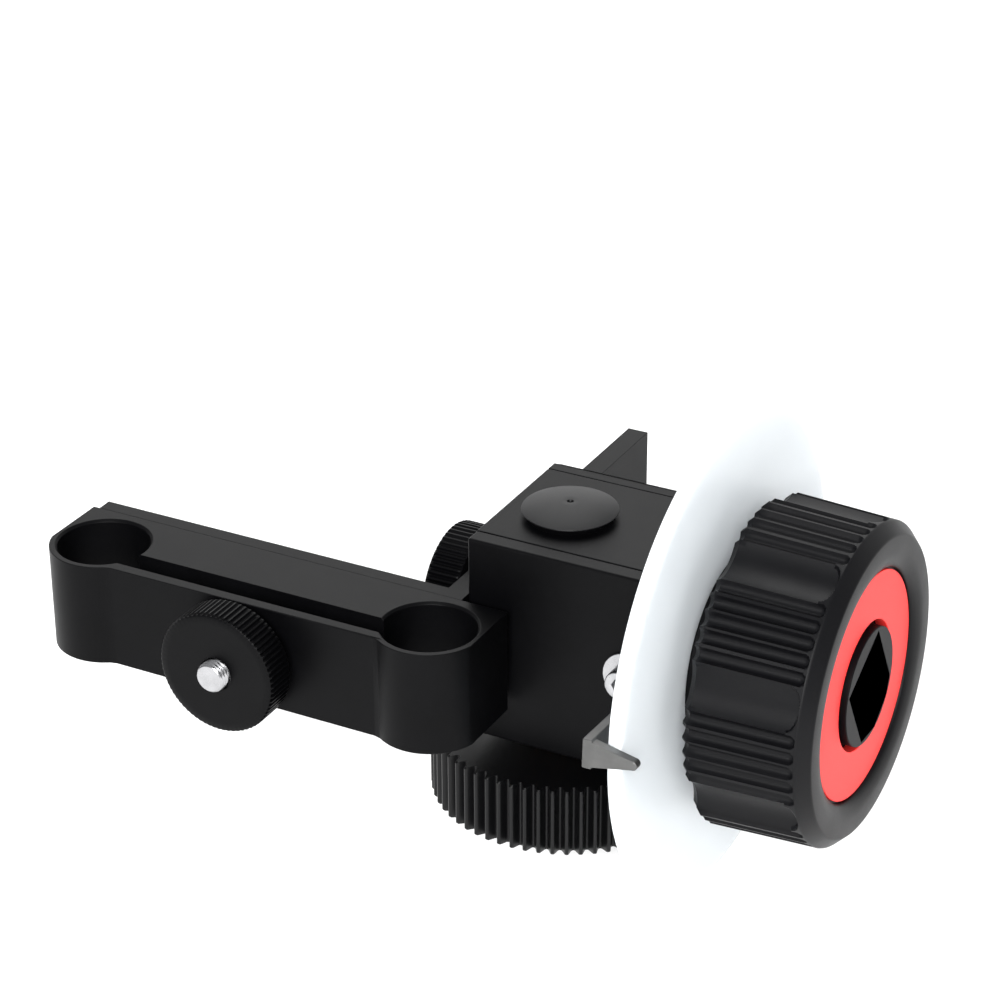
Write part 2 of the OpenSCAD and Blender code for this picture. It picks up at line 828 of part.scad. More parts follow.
module wheel_screw() {
    color("dimgray") on_wheel_axis(socket_bottom)
        cap_screw(
            wheel_screw_l + socket_floor, wheel_screw_r, wheel_screw_head_r, wheel_screw_head_h
        );
}

module drive_shaft() {
    bevel_back = axis_z - bevel_big - bevel_hub_l;
    shaft_end = gear_bottom + gear_recess_h;
    color("silver") difference() {
        union() {
            translate([drive_x, axis_y, bevel_back - cut])
                cylinder(h = head_top - 0.5 - bevel_back + cut, r = pin_r);
            translate([drive_x, axis_y, shaft_end])
                cylinder(h = bevel_back - shaft_end, r = shaft_r);
        }
        translate([drive_x, axis_y, cavity_floor + slide_gap])
            tube(clip_t, shaft_r + cut, shaft_r - clip_groove);
        translate([drive_x, axis_y, shaft_end - cut])
            cylinder(h = gear_screw_l + cut, r = gear_screw_r);
    }
}

gear_screw_r = 2;
gear_screw_l = 8;
gear_screw_head_r = 3.5;
gear_screw_head_h = 2.6;

module drive_clip() {
    color("silver") translate([drive_x, axis_y, cavity_floor + slide_gap])
        tube(clip_t, shaft_r + clip_ring, shaft_r - clip_groove);
}

// Outline of the drive gear: each flank is drawn at its root, pitch circle and tip
module gear_plan() {
    step = 360 / gear_teeth;
    flank = [
        [-0.42, gear_root_r], [-0.25, gear_pitch_r], [-0.12, gear_tip_r],
        [0.12, gear_tip_r], [0.25, gear_pitch_r], [0.42, gear_root_r]
    ];
    polygon([
        for (tooth = [0 : gear_teeth - 1])
            for (corner = flank)
                let (angle = (tooth + corner[0]) * step)
                    corner[1] * [cos(angle), sin(angle)]
    ]);
}

module drive_gear() {
    color([0.12, 0.12, 0.13]) translate([drive_x, axis_y, gear_bottom]) difference() {
        linear_extrude(height = gear_w) gear_plan();
        translate([0, 0, -cut]) cylinder(h = gear_w + 2 * cut, r = shaft_r);
        translate([0, 0, -cut]) cylinder(h = gear_recess_h + cut, r = gear_recess_r);
    }
}

module gear_spacer() {
    color("silver") translate([drive_x, axis_y, gear_top])
        tube(gear_drop - bush_flange_t - slide_gap, shaft_r + spacer_wall, shaft_r);
}

module gear_washer() {
    color("silver")
        translate([drive_x, axis_y, gear_bottom + gear_recess_h - washer_t])
            tube(washer_t, gear_recess_r - washer_room, gear_screw_r);
}

module gear_screw() {
    color("dimgray")
        translate([drive_x, axis_y, gear_bottom + gear_recess_h - washer_t]) mirror([0, 0, 1])
            cap_screw(gear_screw_l + washer_t, gear_screw_r, gear_screw_head_r, gear_screw_head_h);
}

rod_clamp();
slide_bracket();
bracket_screws();
clamp_stud();
clamp_nut();
clamp_washer();
gear_case();
front_cover();
rear_cover();
rear_cover_screws();
cover_screw();
cover_washer();
dome_cap();
upper_bush();
lower_bush();
shaft_bush();
guide_key();
key_screws();
lock_knob();
lock_stud();
lock_washer();
pointer_spring();
pointer();
pointer_clip();
wheel_shaft();
bevel_pinion();
shaft_clip();
marking_disc();
disc_hub();
wheel_core();
wheel_grip();
face_ring();
crank_socket();
wheel_screw();
drive_shaft();
bevel_gear();
drive_clip();
drive_gear();
gear_spacer();
gear_washer();
gear_screw();
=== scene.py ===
"""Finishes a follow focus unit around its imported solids: bevelled housings, knurled knobs,
a fluted rubber grip, threads, a toothed drive gear, materials, light and camera."""

import json
import math

import bmesh
import bpy
from mathutils import Matrix, Vector


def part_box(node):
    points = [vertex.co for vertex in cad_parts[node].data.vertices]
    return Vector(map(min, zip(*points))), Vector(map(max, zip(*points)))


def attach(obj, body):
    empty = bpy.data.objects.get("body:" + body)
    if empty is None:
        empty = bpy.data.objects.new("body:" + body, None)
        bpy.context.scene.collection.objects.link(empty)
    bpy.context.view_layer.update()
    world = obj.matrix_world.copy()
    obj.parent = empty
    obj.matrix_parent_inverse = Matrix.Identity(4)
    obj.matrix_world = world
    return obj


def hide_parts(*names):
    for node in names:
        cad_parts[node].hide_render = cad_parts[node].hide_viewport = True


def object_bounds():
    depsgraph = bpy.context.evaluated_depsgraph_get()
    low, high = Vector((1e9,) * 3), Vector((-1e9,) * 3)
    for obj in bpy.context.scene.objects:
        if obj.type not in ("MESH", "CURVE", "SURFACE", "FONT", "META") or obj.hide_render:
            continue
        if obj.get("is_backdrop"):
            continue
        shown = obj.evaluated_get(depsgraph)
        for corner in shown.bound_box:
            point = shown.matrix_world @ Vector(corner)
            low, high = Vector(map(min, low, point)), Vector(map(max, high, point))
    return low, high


bl_info = {
    "name": "Follow focus unit",
    "version": (1, 0, 0),
    "blender": (4, 5, 0),
    "location": "View3D > Sidebar > Follow focus",
    "description": "Builds the detailed pieces and materials of a rod-mounted follow focus unit",
    "category": "Add Mesh",
}

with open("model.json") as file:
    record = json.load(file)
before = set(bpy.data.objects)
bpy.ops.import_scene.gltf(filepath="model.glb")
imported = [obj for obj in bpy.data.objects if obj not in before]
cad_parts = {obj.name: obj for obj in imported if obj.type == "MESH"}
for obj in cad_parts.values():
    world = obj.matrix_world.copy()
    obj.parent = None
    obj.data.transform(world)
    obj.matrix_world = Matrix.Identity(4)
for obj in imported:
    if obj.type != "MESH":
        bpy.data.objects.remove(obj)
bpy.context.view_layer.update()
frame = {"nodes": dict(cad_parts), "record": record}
MM = 0.001
MERGE = 0.001 * MM  # points of a solid's mesh that are this near are one point
SEAM = 0.002 * MM  # gap that the repeated slices of a turned piece are welded over
HAIR = 0.0001 * MM  # shorter edges than this are dropped


def middle(node):
    low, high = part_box(node)
    return (low + high) / 2


GRIP_LOW, GRIP_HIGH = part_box("wheel_grip")
RING_LOW, RING_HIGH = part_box("face_ring")
GEAR_LOW, GEAR_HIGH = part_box("drive_gear")
NUT_LOW, NUT_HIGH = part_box("clamp_nut")
KNOB_LOW, KNOB_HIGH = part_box("lock_knob")
DISC_LOW, DISC_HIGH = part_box("marking_disc")
WHEEL_AXIS = middle("wheel_grip")
GEAR_AXIS = middle("drive_gear")


# Settings shown in the sidebar


class GripSettings(bpy.types.PropertyGroup):
    """Sizes of the rubber grip around the hand wheel"""

    flutes: bpy.props.IntProperty(
        name="Flutes", description="Wide hollows around the grip", default=8, min=3, max=16
    )
    flute_depth: bpy.props.FloatProperty(
        name="Flute depth", description="Depth of a wide hollow", default=1.6 * MM, unit="LENGTH"
    )
    flute_half: bpy.props.FloatProperty(
        name="Flute half width", description="Half of a hollow's width", default=4.1 * MM,
        unit="LENGTH",
    )
    flute_turn: bpy.props.FloatProperty(
        name="Flute angle", description="Angle of the first hollow above the level",
        default=math.radians(27), subtype="ANGLE",
    )
    grooves: bpy.props.IntProperty(
        name="Grooves", description="Fine grooves between two flutes", default=5, min=0, max=9
    )
    groove_depth: bpy.props.FloatProperty(
        name="Groove depth", description="Depth of a fine groove", default=1.1 * MM,
        unit="LENGTH",
    )
    groove_step: bpy.props.FloatProperty(
        name="Groove spacing", description="Angle from one fine groove to the next",
        default=math.radians(5.9), subtype="ANGLE",
    )
    groove_width: bpy.props.FloatProperty(
        name="Groove width", description="Angle that a fine groove covers",
        default=math.radians(4.7), subtype="ANGLE",
    )
    shoulder: bpy.props.FloatProperty(
        name="Shoulder", description="Chamfer around the front edge", default=1.9 * MM,
        unit="LENGTH",
    )
    taper: bpy.props.FloatProperty(
        name="Taper", description="How much smaller the radius is at the front",
        default=0.7 * MM, unit="LENGTH",
    )
    plain_band: bpy.props.FloatProperty(
        name="Plain band", description="Smooth band in front of the flutes", default=2.1 * MM,
        unit="LENGTH",
    )


class KnurlSettings(bpy.types.PropertyGroup):
    """Sizes of the knurls and threads"""

    nut_ribs: bpy.props.IntProperty(
        name="Nut ribs", description="Ribs around the clamp nut", default=72, min=12, max=120
    )
    knob_ribs: bpy.props.IntProperty(
        name="Knob ribs", description="Ribs around the lock knob", default=60, min=12, max=120
    )
    rib_depth: bpy.props.FloatProperty(
        name="Rib depth", description="Depth of the knurl", default=0.42 * MM, unit="LENGTH"
    )
    thread_pitch: bpy.props.FloatProperty(
        name="Thread pitch", description="Pitch of the clamp stud's thread", default=0.7 * MM,
        unit="LENGTH",
    )


class GearSettings(bpy.types.PropertyGroup):
    """Sizes of the drive gear"""

    teeth: bpy.props.IntProperty(
        name="Teeth", description="Teeth of the drive gear", default=62, min=20, max=90
    )
    module: bpy.props.FloatProperty(
        name="Module", description="Pitch diameter over the number of teeth", default=0.7 * MM,
        unit="LENGTH",
    )


class FinishSettings(bpy.types.PropertyGroup):
    """Colours of the finishes"""

    alloy: bpy.props.FloatVectorProperty(
        name="Black alloy", description="Anodised housings and bracket", subtype="COLOR",
        size=3, default=(0.0008, 0.0008, 0.001), min=0, max=1,
    )
    rubber: bpy.props.FloatVectorProperty(
        name="Grip rubber", description="Rubber of the hand wheel", subtype="COLOR",
        size=3, default=(0.0016, 0.0016, 0.002), min=0, max=1,
    )
    red: bpy.props.FloatVectorProperty(
        name="Red ring", description="Ring in the wheel's face", subtype="COLOR",
        size=3, default=(0.94, 0.036, 0.032), min=0, max=1,
    )
    white: bpy.props.FloatVectorProperty(
        name="Marking disc", description="White marking disc", subtype="COLOR",
        size=3, default=(0.57, 0.6, 0.62), min=0, max=1,
    )


# Materials


class Term:
    """An output socket that can be added to and multiplied by numbers and sockets"""

    def __init__(self, finish, socket):
        self.finish = finish
        self.socket = socket

    def _join(self, operation, a, b):
        return self.finish.node("ShaderNodeMath", {"operation": operation}, {0: a, 1: b})

    def __add__(self, other):
        return self._join("ADD", self, other)

    def __radd__(self, other):
        return self._join("ADD", other, self)

    def __mul__(self, other):
        return self._join("MULTIPLY", self, other)

    def __rmul__(self, other):
        return self._join("MULTIPLY", other, self)


class Finish:
    """A material whose nodes are written as expressions"""

    def __init__(self, name):
        self.material = bpy.data.materials.new(name)
        self.material.use_nodes = True
        self.tree = self.material.node_tree
        self.tree.nodes.clear()
        self.place = self.node("ShaderNodeTexCoord", {}, {}, "Object")

    def node(self, kind, settings, inputs, output=0):
        made = self.tree.nodes.new(kind)
        for key, value in settings.items():
            setattr(made, key, value)
        for key, value in inputs.items():
            if isinstance(value, Term):
                self.tree.links.new(value.socket, made.inputs[key])
            else:
                made.inputs[key].default_value = value
        return Term(self, made.outputs[output])

    def stretched(self, x, y, z):
        """Object coordinates in millimetres, stretched along an axis by a small factor"""
        return self.node(
            "ShaderNodeVectorMath", {"operation": "MULTIPLY"},
            {0: self.place, 1: (x / MM, y / MM, z / MM)},
        )

    def noise(self, scale, detail=3.0, where=None, roughness=0.55):
        """Noise from 0 to 1, with its scale in features for each millimetre"""
        where = where or self.stretched(1, 1, 1)
        return self.node(
            "ShaderNodeTexNoise", {},
            {"Vector": where, "Scale": scale, "Detail": detail, "Roughness": roughness},
        )

    def spread(self, value, low, high):
        """0 where the value is low or less, rising to 1 where it is high or more"""
        return self.node(
            "ShaderNodeMapRange", {"clamp": True},
            {"Value": value, "From Min": low, "From Max": high, "To Min": 0.0, "To Max": 1.0},
        )

    def mix(self, factor, a, b):
        """Colour a where factor is 0, and b where it is 1"""
        a, b = (colour if isinstance(colour, Term) else (*colour, 1) for colour in (a, b))
        factor_in, a_in, b_in, colour_out = 0, 6, 7, 2
        return self.node(
            "ShaderNodeMix", {"data_type": "RGBA"}, {factor_in: factor, a_in: a, b_in: b},
            colour_out,
        )

    def clouded(self, cloud, colour, dark, light):
        """The colour times a factor that drifts from dark to light with a cloud noise"""
        share = self.spread(cloud, low=0.3, high=0.7)
        return self.mix(share, scaled(colour, dark), scaled(colour, light))

    def bump(self, height, distance, strength):
        return self.node(
            "ShaderNodeBump", {}, {"Height": height, "Distance": distance, "Strength": strength}
        )

    def shade(self, **inputs):
        """Ends the material in a Principled shader with these sockets"""
        shader = self.node(
            "ShaderNodeBsdfPrincipled", {},
            {key.replace("_", " "): value for key, value in inputs.items()},
        )
        end = self.tree.nodes.new("ShaderNodeOutputMaterial")
        self.tree.links.new(shader.socket, end.inputs["Surface"])
        return self.material


def scaled(colour, factor):
    return tuple(min(1.0, channel * factor) for channel in colour)


def anodised(name, colour, roughness=0.42):
    """Fine-blasted black anodised aluminium"""
    finish = Finish(name)
    grain = finish.noise(scale=9.0, detail=2.0)
    cloud = finish.noise(scale=0.16)
    base = finish.clouded(cloud, colour, dark=0.82, light=1.2)
    return finish.shade(
        Base_Color=base, Roughness=roughness - 0.05 + 0.06 * cloud + 0.05 * grain,
        Specular_IOR_Level=0.085, Normal=finish.bump(grain, distance=0.012 * MM, strength=0.55),
    )


def moulded(name, colour, roughness=0.4, level=0.2):
    """Moulded plastic with a fine even grain"""
    finish = Finish(name)
    grain = finish.noise(scale=5.0)
    cloud = finish.noise(scale=0.12, detail=2.0)
    base = finish.clouded(cloud, colour, dark=0.95, light=1.05)
    return finish.shade(
        Base_Color=base, Roughness=roughness + 0.05 * cloud, Specular_IOR_Level=level,
        Normal=finish.bump(grain, distance=0.02 * MM, strength=0.5),
    )


def rubber(name, colour):
    """Soft black rubber with a dull, slightly dusty skin"""
    finish = Finish(name)
    grain = finish.noise(scale=6.0, detail=4.0, roughness=0.65)
    cloud = finish.noise(scale=0.22)
    dust = finish.spread(finish.noise(scale=1.6, detail=4.0), low=0.52, high=0.8) * 0.35
    base = finish.mix(dust, colour, scaled(colour, 1.7))
    return finish.shade(
        Base_Color=base, Roughness=0.36 + 0.1 * cloud + 0.04 * grain, Specular_IOR_Level=0.15,
        Normal=finish.bump(grain, distance=0.03 * MM, strength=0.5),
    )


def brushed(name, colour, roughness, along=(1, 1, 1), metallic=1.0):
    """Bare or plated metal, whose tool marks are drawn out where along has a small factor"""
    finish = Finish(name)
    marks = finish.noise(scale=4.0, detail=4.0, where=finish.stretched(*along), roughness=0.7)
    cloud = finish.noise(scale=0.5, detail=2.0)
    base = finish.clouded(cloud, colour, dark=0.9, light=1.06)
    return finish.shade(
        Base_Color=base, Metallic=metallic, Roughness=roughness - 0.05 + 0.14 * marks,
        Normal=finish.bump(marks, distance=0.02 * MM, strength=0.4),
    )


def red_anodised(name, colour):
    """Satin red anodised aluminium, as evenly coloured as paint"""
    finish = Finish(name)
    grain = finish.noise(scale=9.0, detail=2.0)
    cloud = finish.noise(scale=0.3, detail=2.0)
    base = finish.clouded(cloud, colour, dark=0.96, light=1)
    return finish.shade(
        Base_Color=base, Roughness=0.4 + 0.06 * grain, Specular_IOR_Level=0.13,
        Normal=finish.bump(grain, distance=0.01 * MM, strength=0.5),
    )


def white_plastic(name, colour):
    """Smooth white plastic that light enters a little way, so that it shades softly"""
    finish = Finish(name)
    grain = finish.noise(scale=7.0)
    cloud = finish.noise(scale=0.08)
    base = finish.clouded(cloud, colour, dark=0.975, light=1)
    return finish.shade(
        Base_Color=base, Roughness=0.36 + 0.07 * cloud, Specular_IOR_Level=0.3,
        Subsurface_Weight=0.8, Subsurface_Radius=(1, 1, 1), Subsurface_Scale=6 * MM,
        Normal=finish.bump(grain, distance=0.012 * MM, strength=0.4),
    )


FINISHES = {}


def make_finishes(colours):
    """Fills FINISHES with one material for each slot"""
    alloy = tuple(colours.alloy)
    FINISHES.update({
        "black_alloy": anodised("black_alloy", alloy),
        "knob_black": anodised("knob_black", scaled(alloy, 0.95), roughness=0.38),
        "cap_black": moulded("cap_black", scaled(alloy, 1.2), roughness=0.4),
        "gear_black": moulded("gear_black", scaled(alloy, 0.9), roughness=0.36, level=0.26),
        "socket_black": anodised("socket_black", scaled(alloy, 1.9), roughness=0.46),
        "grip_rubber": rubber("grip_rubber", tuple(colours.rubber)),
        "ring_red": red_anodised("ring_red", tuple(colours.red)),
        "disc_white": white_plastic("disc_white", tuple(colours.white)),
        "pointer_alloy": brushed("pointer_alloy", (0.13, 0.13, 0.128), 0.4, along=(0.12, 1, 1)),
        "bright_steel": brushed("bright_steel", (0.43, 0.43, 0.44), 0.24),
        "dark_steel": brushed("dark_steel", (0.09, 0.09, 0.095), 0.36, metallic=0.6),
        "bronze": brushed("bronze", (0.55, 0.36, 0.15), 0.34),
    })


# Mesh helpers


def new_piece(name, points, faces):
    mesh = bpy.data.meshes.new(name)
    mesh.from_pydata([tuple(p) for p in points], [], faces)
    mesh.update()
    piece = bpy.data.objects.new(name, mesh)
    bpy.context.scene.collection.objects.link(piece)
    return piece


def settle(piece):
    """Applies the piece's modifiers, so that a plain mesh is left"""
    bpy.context.view_layer.update()
    depsgraph = bpy.context.evaluated_depsgraph_get()
    made = bpy.data.meshes.new_from_object(
        piece.evaluated_get(depsgraph), preserve_all_data_layers=True, depsgraph=depsgraph
    )
    piece.modifiers.clear()
    old = piece.data
    piece.data = made
    bpy.data.meshes.remove(old)
    made.name = piece.name
    return piece


def smooth(piece, angle):
    """Smooth shading, with edges steeper than the angle in degrees kept sharp"""
    mesh = piece.data
    for face in mesh.polygons:
        face.use_smooth = True
    mesh.set_sharp_from_angle(angle=math.radians(angle))
    return piece


def finished(piece, body, slot, node):
    """Gives a piece its finish, its body and the solid that it stands for"""
    mesh = piece.data
    mesh.materials.clear()
    mesh.materials.append(FINISHES[slot])
    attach(piece, body)
    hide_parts(node)
    return piece


def new_tree(kind, sockets):
    """A tree with these inputs and the finished piece as its output, and its input node"""
    tree = bpy.data.node_groups.new(kind, "GeometryNodeTree")
    for name, form in sockets:
        tree.interface.new_socket(name, in_out="INPUT", socket_type="NodeSocket" + form)
    tree.interface.new_socket("Piece", in_out="OUTPUT", socket_type="NodeSocketGeometry")
    return tree, tree.nodes.new("NodeGroupInput")


def end_tree(tree, start, copies):
    """Makes the copies real, welds their seams and gives them their finish"""
    new, link = tree.nodes.new, tree.links.new
    real = new("GeometryNodeRealizeInstances")
    weld = new("GeometryNodeMergeByDistance")
    weld.inputs["Distance"].default_value = SEAM
    paint = new("GeometryNodeSetMaterial")
    link(copies.outputs[0], real.inputs[0])
    link(real.outputs[0], weld.inputs["Geometry"])
    link(weld.outputs[0], paint.inputs["Geometry"])
    link(start.outputs["Finish"], paint.inputs["Material"])
    link(paint.outputs[0], new("NodeGroupOutput").inputs[0])
    return tree


def slices_tree(kind):
    """A tree that repeats a slice about an axis"""
    tree, start = new_tree(kind, [
        ("Slice", "Geometry"), ("Count", "Int"), ("Centre", "Vector"), ("Axis", "Vector"),
        ("Finish", "Material"),
    ])
    new, link = tree.nodes.new, tree.links.new
    points = new("GeometryNodePoints")
    link(start.outputs["Count"], points.inputs["Count"])
    link(start.outputs["Centre"], points.inputs["Position"])
    step = new("ShaderNodeMath")
    step.operation = "DIVIDE"
    step.inputs[0].default_value = 2 * math.pi
    link(start.outputs["Count"], step.inputs[1])
    angle = new("ShaderNodeMath")
    angle.operation = "MULTIPLY"
    link(new("GeometryNodeInputIndex").outputs[0], angle.inputs[0])
    link(step.outputs[0], angle.inputs[1])
    turn = new("FunctionNodeAxisAngleToRotation")
    link(start.outputs["Axis"], turn.inputs["Axis"])
    link(angle.outputs[0], turn.inputs["Angle"])
    copies = new("GeometryNodeInstanceOnPoints")
    link(points.outputs[0], copies.inputs["Points"])
    link(start.outputs["Slice"], copies.inputs["Instance"])
    link(turn.outputs[0], copies.inputs["Rotation"])
    return end_tree(tree, start, copies)


def places_tree(kind):
    """A tree that sets a screw at each point of a mesh"""
    tree, start = new_tree(kind, [
        ("Places", "Geometry"), ("Fastener", "Object"), ("Finish", "Material"),
    ])
    new, link = tree.nodes.new, tree.links.new
    info = new("GeometryNodeObjectInfo")
    copies = new("GeometryNodeInstanceOnPoints")
    link(start.outputs["Fastener"], info.inputs["Object"])
    link(start.outputs["Places"], copies.inputs["Points"])
    link(info.outputs["Geometry"], copies.inputs["Instance"])
    return end_tree(tree, start, copies)


TREES = {"turned_slices": slices_tree, "set_in_places": places_tree}


def through_tree(piece, kind, values):
    """Runs the piece through one of the trees and leaves the plain result"""
    tree = bpy.data.node_groups.get(kind) or TREES[kind](kind)
    modifier = piece.modifiers.new(kind, "NODES")
    modifier.node_group = tree
    for item in tree.interface.items_tree:
        if item.in_out == "INPUT" and item.name in values:
            modifier[item.identifier] = values[item.name]
    return settle(piece)


def reworked(mesh, change, source=None):
    """Runs change on the mesh, or on a copy of the source, and writes the result to the mesh"""
    shape = bmesh.new()
    shape.from_mesh(source or mesh)
    change(shape)
    shape.to_mesh(mesh)
    shape.free()


def tube_faces(rings, steps):
    """The faces between rings of points that follow each other, each closed on itself"""
    found = []
    for i in range(rings - 1):
        for j in range(steps):
            k = (j + 1) % steps
            found.append((i * steps + j, i * steps + k, (i + 1) * steps + k, (i + 1) * steps + j))
    return found


AXES = {"X": (1, 0, 0), "Y": (0, 1, 0), "Z": (0, 0, 1)}


def on_axis(axis, along, radius, angle):
    """A point near an axis, with its angle in the turning sense of that axis"""
    a, b = radius * math.cos(angle), radius * math.sin(angle)
    return {"X": (along, a, b), "Y": (b, along, a), "Z": (a, b, along)}[axis]


def turned(name, axis, centre, rows, slot, count, steps, ripple=None, start=0.0, closed=True):
    """A turned piece made of count slices of steps faces each, with anything cut around it.

    rows are (along, radius) from the inner back edge round to the inner front one, and closed
    joins the last to the first. A row with a third value is cut by ripple(share of the slice,
    third value)."""
    along_centre = centre["XYZ".index(axis)]
    points, faces = [], []
    slice_angle = 2 * math.pi / count
    shares = [i / steps for i in range(steps + 1)]
    for along, radius, *weight in rows:
        for share in shares:
            cut = ripple(share, weight[0]) if weight else 0.0
            points.append(
                on_axis(axis, along - along_centre, radius - cut, start + share * slice_angle)
            )
    wide = steps + 1
    for i in range(len(rows) if closed else len(rows) - 1):
        k = (i + 1) % len(rows)
        if rows[i][1] == rows[k][1] == 0:
            continue
        for j in range(steps):
            faces.append((i * wide + j, i * wide + j + 1, k * wide + j + 1, k * wide + j))
    piece = new_piece(name, points, faces)
    through_tree(
        piece, "turned_slices",
        {"Count": count, "Centre": tuple(centre), "Axis": AXES[axis], "Finish": FINISHES[slot]},
    )
    reworked(piece.data, lambda shape: bmesh.ops.dissolve_degenerate(
        shape, dist=HAIR, edges=shape.edges
    ))
    return piece


def made_whole(shape):
    """Joins a solid's loose triangles into flat faces"""
    bmesh.ops.remove_doubles(shape, verts=shape.verts, dist=MERGE)
    bmesh.ops.dissolve_limit(
        shape, angle_limit=math.radians(0.6), verts=shape.verts, edges=shape.edges
    )
    bmesh.ops.recalc_face_normals(shape, faces=shape.faces)
    for face in shape.faces:
        face.smooth = True


def softened(name, node, width):
    """A copy of a solid with its sharp edges rounded"""
    mesh = bpy.data.meshes.new(name)
    reworked(mesh, made_whole, frame["nodes"][node].data)
    # the solid's stored normals don't fit the rounded mesh
    stale = mesh.attributes.get("custom_normal")
    if stale:
        mesh.attributes.remove(stale)
    piece = bpy.data.objects.new(name, mesh)
    bpy.context.scene.collection.objects.link(piece)
    bevel = piece.modifiers.new("edges", "BEVEL")
    bevel.width = width
    bevel.segments = 3
    bevel.limit_method = "ANGLE"
    bevel.angle_limit = math.radians(35)
    bevel.harden_normals = True
    bevel.use_clamp_overlap = False
    return settle(piece)


def arc(centre_along, centre_radius, radius, start, end, steps):
    """Points of an arc in a section, as (along, radius), from one angle in degrees to another"""
    found = []
    for i in range(steps + 1):
        a = math.radians(start + (end - start) * i / steps)
        found.append((centre_along + radius * math.cos(a), centre_radius + radius * math.sin(a)))
    return found


def rib(share, depth):
    """A knurl's depth: for each slice a rounded valley between two halves of a flat-topped rib"""
    off = abs(share - 0.5) * 2
    valley, fullness = 0.72, 0.8
    if off > valley:
        return 0.0
    return depth * math.cos(off / valley * math.pi / 2) ** fullness


def knurled_side(low, high, radius):
    """Rows of a knurled rim from low to high, whose ribs fade out over rounded edges"""
    edge, inset, faded = 0.5 * MM, 0.02 * MM, 0.2
    return [
        (low, radius - edge - inset), (low + edge * 0.3, radius - edge * 0.4, faded),
        (low + edge, radius, 1), (low + edge * 1.6, radius, 1),
        (high - edge * 1.6, radius, 1), (high - edge, radius, 1),
        (high - edge * 0.3, radius - edge * 0.4, faded), (high, radius - edge - inset),
    ]


def fastener(name, length, radius, head_radius, head_height):
    """A screw that points down from z = 0, with a six-sided key hole. Its head is a cap, or
    where it has no height a countersunk cone."""
    hollow = head_radius * 0.52  # from the axis to a corner of the key hole
    hollow_edge = hollow * 1.16
    tip, tip_length = radius * 0.8, radius * 0.3
    rows = [(-length, 0), (-length, tip), (-length + tip_length, radius)]
    if head_height:
        edge, deep = head_radius * 0.12, head_height * 0.5
        rows += [
            (0, radius), (0, head_radius - edge * 0.5), (edge * 0.5, head_radius),
            (head_height - edge, head_radius), (head_height - edge * 0.3, head_radius - edge * 0.3),
            (head_height, head_radius - edge), (head_height, hollow_edge),
        ]
    else:
        cone = head_radius - radius
        deep = cone * 0.8
        rows += [
            (-cone, radius), (-0.04 * MM, head_radius), (0, head_radius - 0.06 * MM),
            (0, hollow_edge),
        ]
    steps, sixth = 48, math.pi / 3
    angles = [2 * math.pi * j / steps for j in range(steps)]
    points = [on_axis("Z", along, r, angle) for along, r in rows for angle in angles]
    for level in (head_height - hollow * 0.1, head_height - deep):
        for angle in angles:
            side = (angle % sixth) - sixth / 2
            key = hollow * math.cos(sixth / 2) / math.cos(side)
            points.append(on_axis("Z", level, key, angle))
    points.append((0, 0, head_height - deep))
    rings = len(rows) + 2
    faces = tube_faces(rings, steps)
    last = rings * steps
    faces += [(last - steps + j, last - steps + (j + 1) % steps, last) for j in range(steps)]
    piece = new_piece(name, points, faces)

    def close(shape):
        bmesh.ops.remove_doubles(shape, verts=shape.verts, dist=HAIR)
        bmesh.ops.recalc_face_normals(shape, faces=shape.faces)

    reworked(piece.data, close)
    return piece


def screws(name, node, places, facing, body, slot, length, shank, head, height=0):
    """The same screw at several places, its head facing one way. The shank and the head are
    given by their radius, and height is that of a cap head."""
    turn = Vector((0, 0, 1)).rotation_difference(Vector(facing)).to_matrix().to_4x4()
    single = fastener(name + "_one", length, shank, head, height)
    single.data.transform(turn)
    piece = new_piece(name, places, [])
    through_tree(piece, "set_in_places", {"Fastener": single, "Finish": FINISHES[slot]})
    bpy.data.objects.remove(single)
    smooth(piece, 30)
    return finished(piece, body, slot, node)


def threaded(name, node, axis, pitch, depth, chamfer, slot, body):
    """A stud with a thread cut along it"""
    low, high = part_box(node)
    index = "XYZ".index(axis)
    centre = (low + high) / 2
    bottom, top = low[index], high[index]
    radius = (high[(index + 1) % 3] - low[(index + 1) % 3]) / 2
    steps, rows_per_turn, sharpness = 40, 8, 0.9
    rows = int((top - bottom) / pitch * rows_per_turn)
    points = []
    for i in range(rows + 1):
        s = bottom + (top - bottom) * i / rows
        most = radius - max(0, chamfer - min(s - bottom, top - s))
        for j in range(steps):
            share = ((s - bottom) / pitch - j / steps) % 1
            cut = depth * (1 - abs(2 * share - 1)) ** sharpness
            points.append(on_axis(axis, s - centre[index], min(radius - cut, most),
                                  2 * math.pi * j / steps))
    faces = tube_faces(rows + 1, steps)
    faces.append(tuple(reversed(range(steps))))
    faces.append(tuple(rows * steps + j for j in range(steps)))
    piece = new_piece(name, points, faces)
    piece.data.transform(Matrix.Translation(centre))
    smooth(piece, 28)
    return finished(piece, body, slot, node)


# Pieces


class CLAMP_OT_block(bpy.types.Operator):
    """Rod clamp and L-shaped bracket with the arm that the gear head slides on"""

    bl_idname = "follow_focus.clamp_block"
    bl_label = "Clamp and bracket"

    def execute(self, context):
        finished(softened("clamp_block", "rod_clamp", 0.1 * MM), "clamp_frame",
                 "black_alloy", "rod_clamp")
        finished(softened("slide_arm", "slide_bracket", 0.1 * MM), "clamp_frame",
                 "black_alloy", "slide_bracket")
        low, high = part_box("bracket_screws")
        inset, z = 2.85 * MM, (low.z + high.z) / 2
        ends = [(x, high.y, z) for x in (low.x + inset, high.x - inset)]
        screws("foot_screws", "bracket_screws", ends, (0, 1, 0), "clamp_frame", "dark_steel",
               length=high.y - low.y, shank=1.5 * MM, head=2.8 * MM)
        return {"FINISHED"}


